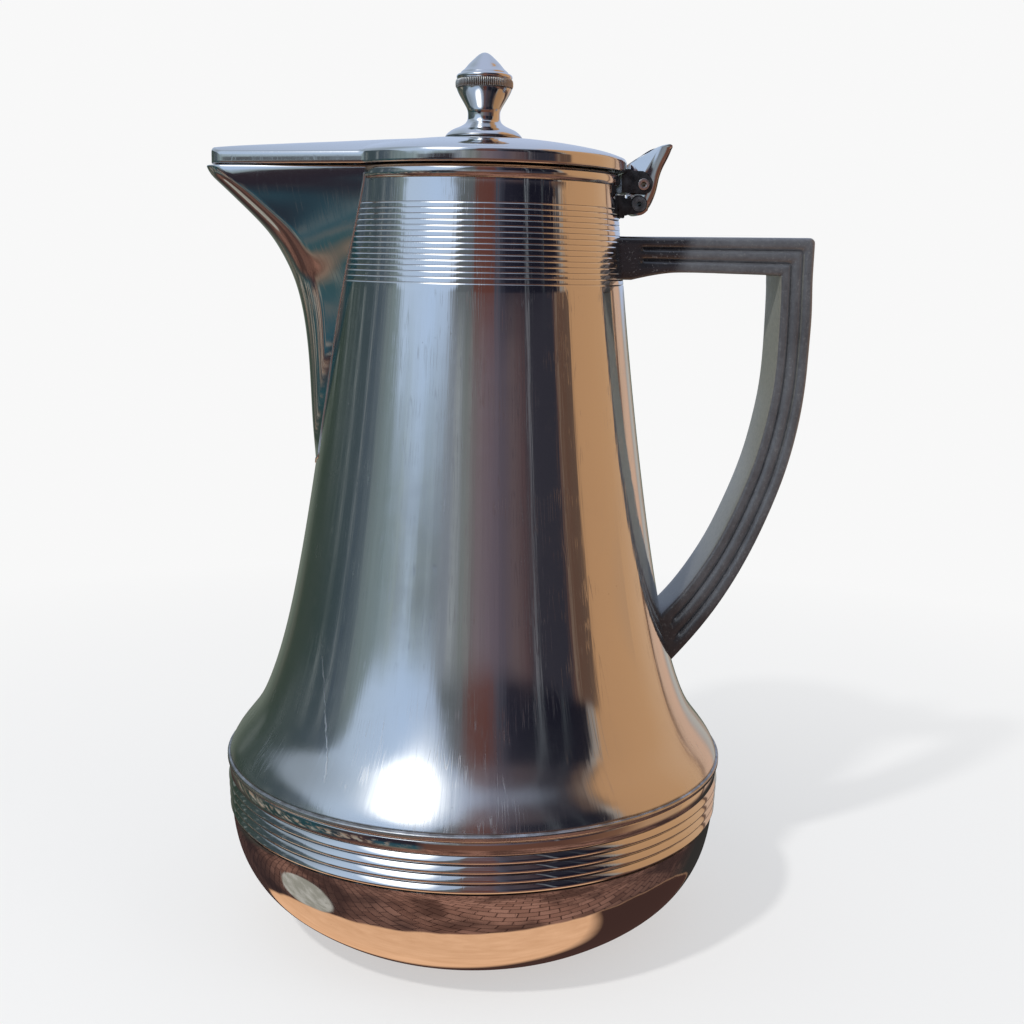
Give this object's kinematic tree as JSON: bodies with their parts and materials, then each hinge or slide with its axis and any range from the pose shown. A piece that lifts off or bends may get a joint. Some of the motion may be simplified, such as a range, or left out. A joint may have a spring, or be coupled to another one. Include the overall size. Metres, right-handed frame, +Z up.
{
  "type": "insulated jug",
  "caption": "Insulated coffee jug with a plated metal body, ribbed base cup, V-shaped spout, angular dark handle and a hinged lid with thumb lever and turned knob.",
  "frame": {"origin": "centre of the flat resting face under the base cup", "axes": "+Z up along the body's axis, -X towards the spout, +X towards the handle, hinge pin along Y"},
  "size_m": [0.176, 0.15, 0.2571],
  "materials": {
    "plated_brass": "polished, with fine scratches and a light haze",
    "tinned_brass": "satin, tinned inside",
    "silvered_glass": "glossy",
    "felt": "matte",
    "rubber": "matte",
    "bakelite": "semi-gloss, dulled by age",
    "brass": "satin",
    "steel": "satin",
    "cork": "matte"
  },
  "bodies": {
    "body": {"base_cup": "plated_brass", "base_collar": "brass", "upper_shell": "plated_brass", "spout_shell": "plated_brass", "spout_tray": "tinned_brass", "rim_band": "plated_brass", "pour_funnel": "tinned_brass", "neck_gasket": "rubber", "flask_outer_bulb": "silvered_glass", "flask_inner_bulb": "silvered_glass", "flask_spacers": "felt", "shoulder_ring": "felt", "base_cushion": "rubber", "handle": "bakelite", "handle_nuts": "brass", "handle_screws": "steel", "handle_saddles": "steel", "hinge_bracket": "plated_brass", "hinge_bracket_rivets": "brass", "hinge_pin": "steel"},
    "lid": {"lid_shell": "plated_brass", "lid_liner": "tinned_brass", "stopper_cup": "tinned_brass", "stopper": "cork", "stopper_washer": "brass", "stopper_nut": "brass", "knob_stem": "plated_brass", "knob_ring": "plated_brass", "knob_cap": "plated_brass", "knob_stud": "brass", "lid_lug": "plated_brass", "thumb_lever": "plated_brass", "lever_rivet": "brass"}
  },
  "joints": [
    {"name": "lid_hinge", "type": "hinge", "parent": "body", "child": "lid", "pos_m": [0.0446, 0, 0.2159], "axis": [0, 1, 0], "range_deg": [0, 85]}
  ]
}
